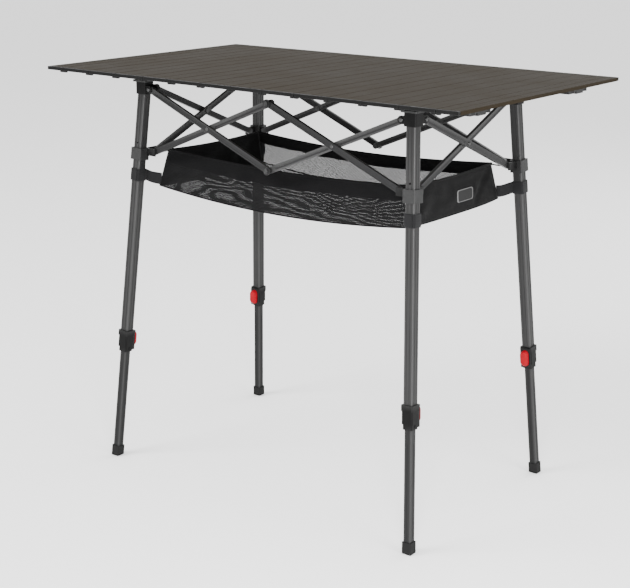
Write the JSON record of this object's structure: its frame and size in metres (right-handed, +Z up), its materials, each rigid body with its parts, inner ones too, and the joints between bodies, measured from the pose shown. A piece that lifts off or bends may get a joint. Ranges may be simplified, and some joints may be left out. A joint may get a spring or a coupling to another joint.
{
  "type": "folding camp kitchen table",
  "caption": "Roll-up slatted table on a folding scissor frame with splayed telescopic legs, push-button leg locks and a storage net under the top",
  "frame": {"origin": "middle of the bounding box on the floor", "axes": "+Z up, +X along the long side of the top, +Y along the short side"},
  "size_m": [0.8594, 0.515, 0.735],
  "materials": {
    "anodised_slat": "brown-grey anodised extrusion with black end caps",
    "dark_rail": "dark anodised rail with black latch blocks",
    "leg_tube": "dark grey anodised square tube",
    "bar_tube": "dark grey flat bar",
    "black_plastic": "moulded black plastic",
    "red_plastic": "moulded red plastic",
    "rubber_foot": "black rubber",
    "net_fabric": "black woven fabric and mesh",
    "webbing": "black webbing"
  },
  "bodies": {
    "top_base": {"slat_01": "anodised_slat", "support_rails": "dark_rail", "storage_net": "net_fabric"},
    "slat_02": {"slat_02": "anodised_slat"},
    "slat_03": {"slat_03": "anodised_slat"},
    "slat_04": {"slat_04": "anodised_slat"},
    "slat_05": {"slat_05": "anodised_slat"},
    "slat_06": {"slat_06": "anodised_slat"},
    "slat_07": {"slat_07": "anodised_slat"},
    "slat_08": {"slat_08": "anodised_slat"},
    "slat_09": {"slat_09": "anodised_slat"},
    "slat_10": {"slat_10": "anodised_slat"},
    "slat_11": {"slat_11": "anodised_slat"},
    "slat_12": {"slat_12": "anodised_slat"},
    "slat_13": {"slat_13": "anodised_slat"},
    "slat_14": {"slat_14": "anodised_slat"},
    "corner_fl": {"top_bracket_fl": "black_plastic"},
    "leg_fl": {"upper_leg_fl": "leg_tube", "lock_sleeve_fl": "black_plastic"},
    "slider_fl": {"slider_fl": "black_plastic", "leg_strap_fl": "webbing"},
    "lower_leg_fl": {"lower_leg_fl": "leg_tube", "foot_fl": "rubber_foot"},
    "lock_button_fl": {"lock_button_fl": "red_plastic"},
    "corner_fr": {"top_bracket_fr": "black_plastic"},
    "leg_fr": {"upper_leg_fr": "leg_tube", "lock_sleeve_fr": "black_plastic"},
    "slider_fr": {"slider_fr": "black_plastic", "leg_strap_fr": "webbing"},
    "lower_leg_fr": {"lower_leg_fr": "leg_tube", "foot_fr": "rubber_foot"},
    "lock_button_fr": {"lock_button_fr": "red_plastic"},
    "corner_br": {"top_bracket_br": "black_plastic"},
    "leg_br": {"upper_leg_br": "leg_tube", "lock_sleeve_br": "black_plastic"},
    "slider_br": {"slider_br": "black_plastic", "leg_strap_br": "webbing"},
    "lower_leg_br": {"lower_leg_br": "leg_tube", "foot_br": "rubber_foot"},
    "lock_button_br": {"lock_button_br": "red_plastic"},
    "corner_bl": {"top_bracket_bl": "black_plastic"},
    "leg_bl": {"upper_leg_bl": "leg_tube", "lock_sleeve_bl": "black_plastic"},
    "slider_bl": {"slider_bl": "black_plastic", "leg_strap_bl": "webbing"},
    "lower_leg_bl": {"lower_leg_bl": "leg_tube", "foot_bl": "rubber_foot"},
    "lock_button_bl": {"lock_button_bl": "red_plastic"},
    "bar_front_1": {"bar_front_1": "bar_tube"},
    "bar_front_2": {"bar_front_2": "bar_tube"},
    "bar_front_3": {"bar_front_3": "bar_tube"},
    "bar_front_4": {"bar_front_4": "bar_tube"},
    "bar_back_1": {"bar_back_1": "bar_tube"},
    "bar_back_2": {"bar_back_2": "bar_tube"},
    "bar_back_3": {"bar_back_3": "bar_tube"},
    "bar_back_4": {"bar_back_4": "bar_tube"},
    "bar_right_1": {"bar_right_1": "bar_tube"},
    "bar_right_2": {"bar_right_2": "bar_tube"},
    "bar_left_1": {"bar_left_1": "bar_tube"},
    "bar_left_2": {"bar_left_2": "bar_tube"}
  },
  "joints": [
    {"name": "top_roll", "type": "hinge", "parent": "top_base", "child": "slat_02", "pos_m": [-0.39, 0, 0.735], "axis": [0, -1, 0], "range_deg": [0, 20]},
    {"name": "slat_03_hinge", "type": "hinge", "parent": "slat_02", "child": "slat_03", "pos_m": [-0.325, 0, 0.735], "axis": [0, -1, 0], "range_deg": [0, 24.01]},
    {"name": "slat_04_hinge", "type": "hinge", "parent": "slat_03", "child": "slat_04", "pos_m": [-0.26, 0, 0.735], "axis": [0, -1, 0], "range_deg": [0, 30.01]},
    {"name": "slat_05_hinge", "type": "hinge", "parent": "slat_04", "child": "slat_05", "pos_m": [-0.195, 0, 0.735], "axis": [0, -1, 0], "range_deg": [0, 36.01]},
    {"name": "slat_06_hinge", "type": "hinge", "parent": "slat_05", "child": "slat_06", "pos_m": [-0.13, 0, 0.735], "axis": [0, -1, 0], "range_deg": [0, 42.01]},
    {"name": "slat_07_hinge", "type": "hinge", "parent": "slat_06", "child": "slat_07", "pos_m": [-0.065, 0, 0.735], "axis": [0, -1, 0], "range_deg": [0, 46.01]},
    {"name": "slat_08_hinge", "type": "hinge", "parent": "slat_07", "child": "slat_08", "pos_m": [0, 0, 0.735], "axis": [0, -1, 0], "range_deg": [0, 50.01]},
    {"name": "slat_09_hinge", "type": "hinge", "parent": "slat_08", "child": "slat_09", "pos_m": [0.065, 0, 0.735], "axis": [0, -1, 0], "range_deg": [0, 56.01]},
    {"name": "slat_10_hinge", "type": "hinge", "parent": "slat_09", "child": "slat_10", "pos_m": [0.13, 0, 0.735], "axis": [0, -1, 0], "range_deg": [0, 62.01]},
    {"name": "slat_11_hinge", "type": "hinge", "parent": "slat_10", "child": "slat_11", "pos_m": [0.195, 0, 0.735], "axis": [0, -1, 0], "range_deg": [0, 70.01]},
    {"name": "slat_12_hinge", "type": "hinge", "parent": "slat_11", "child": "slat_12", "pos_m": [0.26, 0, 0.735], "axis": [0, -1, 0], "range_deg": [0, 80.01]},
    {"name": "slat_13_hinge", "type": "hinge", "parent": "slat_12", "child": "slat_13", "pos_m": [0.325, 0, 0.735], "axis": [0, -1, 0], "range_deg": [0, 88.01]},
    {"name": "slat_14_hinge", "type": "hinge", "parent": "slat_13", "child": "slat_14", "pos_m": [0.39, 0, 0.735], "axis": [0, -1, 0], "range_deg": [0, 90.01]},
    {"name": "frame_fold", "type": "slide", "parent": "top_base", "child": "corner_fl", "axis": [0.8944, 0.4472, 0], "range_m": [0, 0.245], "deforming": ["storage_net"]},
    {"name": "front_1_top", "type": "hinge", "parent": "corner_fl", "child": "bar_front_1", "pos_m": [-0.27, -0.1576, 0.697], "axis": [0, 1, 0], "range_deg": [0, 57.2]},
    {"name": "front_2_cross", "type": "hinge", "parent": "bar_front_1", "child": "bar_front_2", "pos_m": [-0.135, -0.1576, 0.6402], "axis": [0, 1, 0], "range_deg": [-114.38, 0]},
    {"name": "front_4_mid", "type": "hinge", "parent": "bar_front_2", "child": "bar_front_4", "pos_m": [0, -0.1576, 0.697], "axis": [0, 1, 0], "range_deg": [0, 114.38]},
    {"name": "front_3_cross", "type": "hinge", "parent": "bar_front_4", "child": "bar_front_3", "pos_m": [0.135, -0.1576, 0.6402], "axis": [0, 1, 0], "range_deg": [-114.38, 0]},
    {"name": "front_3_top", "type": "hinge", "parent": "bar_front_3", "child": "corner_fr", "pos_m": [0.27, -0.1576, 0.697], "axis": [0, 1, 0], "range_deg": [0, 57.2]},
    {"name": "left_1_top", "type": "hinge", "parent": "corner_fl", "child": "bar_left_1", "pos_m": [-0.2875, -0.135, 0.697], "axis": [-1, 0, 0], "range_deg": [0, 57.2]},
    {"name": "left_2_cross", "type": "hinge", "parent": "bar_left_1", "child": "bar_left_2", "pos_m": [-0.2875, 0, 0.6402], "axis": [-1, 0, 0], "range_deg": [-114.38, 0]},
    {"name": "left_2_top", "type": "hinge", "parent": "bar_left_2", "child": "corner_bl", "pos_m": [-0.2875, 0.135, 0.697], "axis": [-1, 0, 0], "range_deg": [0, 57.2]},
    {"name": "back_1_top", "type": "hinge", "parent": "corner_bl", "child": "bar_back_1", "pos_m": [-0.27, 0.1576, 0.697], "axis": [0, 1, 0], "range_deg": [0, 57.2]},
    {"name": "back_2_cross", "type": "hinge", "parent": "bar_back_1", "child": "bar_back_2", "pos_m": [-0.135, 0.1576, 0.6402], "axis": [0, 1, 0], "range_deg": [-114.38, 0]},
    {"name": "back_4_mid", "type": "hinge", "parent": "bar_back_2", "child": "bar_back_4", "pos_m": [0, 0.1576, 0.697], "axis": [0, 1, 0], "range_deg": [0, 114.38]},
    {"name": "back_3_cross", "type": "hinge", "parent": "bar_back_4", "child": "bar_back_3", "pos_m": [0.135, 0.1576, 0.6402], "axis": [0, 1, 0], "range_deg": [-114.38, 0]},
    {"name": "back_3_top", "type": "hinge", "parent": "bar_back_3", "child": "corner_br", "pos_m": [0.27, 0.1576, 0.697], "axis": [0, 1, 0], "range_deg": [0, 57.2]},
    {"name": "right_1_top", "type": "hinge", "parent": "corner_fr", "child": "bar_right_1", "pos_m": [0.2875, -0.135, 0.697], "axis": [-1, 0, 0], "range_deg": [0, 57.2]},
    {"name": "right_2_cross", "type": "hinge", "parent": "bar_right_1", "child": "bar_right_2", "pos_m": [0.2875, 0, 0.6402], "axis": [-1, 0, 0], "range_deg": [-114.38, 0]},
    {"name": "leg_tilt_fl", "type": "hinge", "parent": "corner_fl", "child": "leg_fl", "pos_m": [-0.2875, -0.1576, 0.697], "axis": [0.7488, -0.6628, 0], "range_deg": [0, 3.55]},
    {"name": "slider_travel_fl", "type": "slide", "parent": "leg_fl", "child": "slider_fl", "axis": [-0.0675, -0.0763, -0.9948], "range_m": [0, 0.17461]},
    {"name": "leg_length_fl", "type": "slide", "parent": "leg_fl", "child": "lower_leg_fl", "axis": [0.0675, 0.0763, 0.9948], "range_m": [0, 0.18]},
    {"name": "lock_press_fl", "type": "slide", "parent": "leg_fl", "child": "lock_button_fl", "axis": [0.0026, -0.9971, 0.0763], "range_m": [0, 0.0024], "stiffness_N_per_m": 800},
    {"name": "leg_tilt_fr", "type": "hinge", "parent": "corner_fr", "child": "leg_fr", "pos_m": [0.2875, -0.1576, 0.697], "axis": [0.7488, 0.6628, 0], "range_deg": [0, 3.55]},
    {"name": "slider_travel_fr", "type": "slide", "parent": "leg_fr", "child": "slider_fr", "axis": [0.0675, -0.0763, -0.9948], "range_m": [0, 0.17461]},
    {"name": "leg_length_fr", "type": "slide", "parent": "leg_fr", "child": "lower_leg_fr", "axis": [-0.0675, 0.0763, 0.9948], "range_m": [0, 0.18]},
    {"name": "lock_press_fr", "type": "slide", "parent": "leg_fr", "child": "lock_button_fr", "axis": [-0.0026, -0.9971, 0.0763], "range_m": [0, 0.0024], "stiffness_N_per_m": 800},
    {"name": "leg_tilt_br", "type": "hinge", "parent": "corner_br", "child": "leg_br", "pos_m": [0.2875, 0.1576, 0.697], "axis": [-0.7488, 0.6628, 0], "range_deg": [0, 3.55]},
    {"name": "slider_travel_br", "type": "slide", "parent": "leg_br", "child": "slider_br", "axis": [0.0675, 0.0763, -0.9948], "range_m": [0, 0.17461]},
    {"name": "leg_length_br", "type": "slide", "parent": "leg_br", "child": "lower_leg_br", "axis": [-0.0675, -0.0763, 0.9948], "range_m": [0, 0.18]},
    {"name": "lock_press_br", "type": "slide", "parent": "leg_br", "child": "lock_button_br", "axis": [-0.0026, 0.9971, 0.0763], "range_m": [0, 0.0024], "stiffness_N_per_m": 800},
    {"name": "leg_tilt_bl", "type": "hinge", "parent": "corner_bl", "child": "leg_bl", "pos_m": [-0.2875, 0.1576, 0.697], "axis": [-0.7488, -0.6628, 0], "range_deg": [0, 3.55]},
    {"name": "slider_travel_bl", "type": "slide", "parent": "leg_bl", "child": "slider_bl", "axis": [-0.0675, 0.0763, -0.9948], "range_m": [0, 0.17461]},
    {"name": "leg_length_bl", "type": "slide", "parent": "leg_bl", "child": "lower_leg_bl", "axis": [0.0675, -0.0763, 0.9948], "range_m": [0, 0.18]},
    {"name": "lock_press_bl", "type": "slide", "parent": "leg_bl", "child": "lock_button_bl", "axis": [0.0026, 0.9971, 0.0763], "range_m": [0, 0.0024], "stiffness_N_per_m": 800}
  ],
  "couplings": [
    {"joint": "slat_03_hinge", "follows": "top_roll", "ratio": 1.2},
    {"joint": "slat_04_hinge", "follows": "top_roll", "ratio": 1.5},
    {"joint": "slat_05_hinge", "follows": "top_roll", "ratio": 1.8},
    {"joint": "slat_06_hinge", "follows": "top_roll", "ratio": 2.1},
    {"joint": "slat_07_hinge", "follows": "top_roll", "ratio": 2.3},
    {"joint": "slat_08_hinge", "follows": "top_roll", "ratio": 2.5},
    {"joint": "slat_09_hinge", "follows": "top_roll", "ratio": 2.8},
    {"joint": "slat_10_hinge", "follows": "top_roll", "ratio": 3.1},
    {"joint": "slat_11_hinge", "follows": "top_roll", "ratio": 3.5},
    {"joint": "slat_12_hinge", "follows": "top_roll", "ratio": 4},
    {"joint": "slat_13_hinge", "follows": "top_roll", "ratio": 4.4},
    {"joint": "slat_14_hinge", "follows": "top_roll", "ratio": 4.5},
    {"joint": "front_1_top", "follows": "frame_fold", "rad_per_m": 4.0735},
    {"joint": "front_2_cross", "follows": "frame_fold", "rad_per_m": -8.147},
    {"joint": "front_4_mid", "follows": "frame_fold", "rad_per_m": 8.147},
    {"joint": "front_3_cross", "follows": "frame_fold", "rad_per_m": -8.147},
    {"joint": "front_3_top", "follows": "frame_fold", "rad_per_m": 4.0735},
    {"joint": "left_1_top", "follows": "frame_fold", "rad_per_m": 4.0735},
    {"joint": "left_2_cross", "follows": "frame_fold", "rad_per_m": -8.147},
    {"joint": "left_2_top", "follows": "frame_fold", "rad_per_m": 4.0735},
    {"joint": "back_1_top", "follows": "frame_fold", "rad_per_m": 4.0735},
    {"joint": "back_2_cross", "follows": "frame_fold", "rad_per_m": -8.147},
    {"joint": "back_4_mid", "follows": "frame_fold", "rad_per_m": 8.147},
    {"joint": "back_3_cross", "follows": "frame_fold", "rad_per_m": -8.147},
    {"joint": "back_3_top", "follows": "frame_fold", "rad_per_m": 4.0735},
    {"joint": "right_1_top", "follows": "frame_fold", "rad_per_m": 4.0735},
    {"joint": "right_2_cross", "follows": "frame_fold", "rad_per_m": -8.147},
    {"joint": "leg_tilt_fl", "follows": "frame_fold", "rad_per_m": 0.2521},
    {"joint": "slider_travel_fl", "follows": "frame_fold", "ratio": 0.71231},
    {"joint": "leg_tilt_fr", "follows": "frame_fold", "rad_per_m": 0.2521},
    {"joint": "slider_travel_fr", "follows": "frame_fold", "ratio": 0.71231},
    {"joint": "leg_tilt_br", "follows": "frame_fold", "rad_per_m": 0.2521},
    {"joint": "slider_travel_br", "follows": "frame_fold", "ratio": 0.71231},
    {"joint": "leg_tilt_bl", "follows": "frame_fold", "rad_per_m": 0.2521},
    {"joint": "slider_travel_bl", "follows": "frame_fold", "ratio": 0.71231}
  ]
}
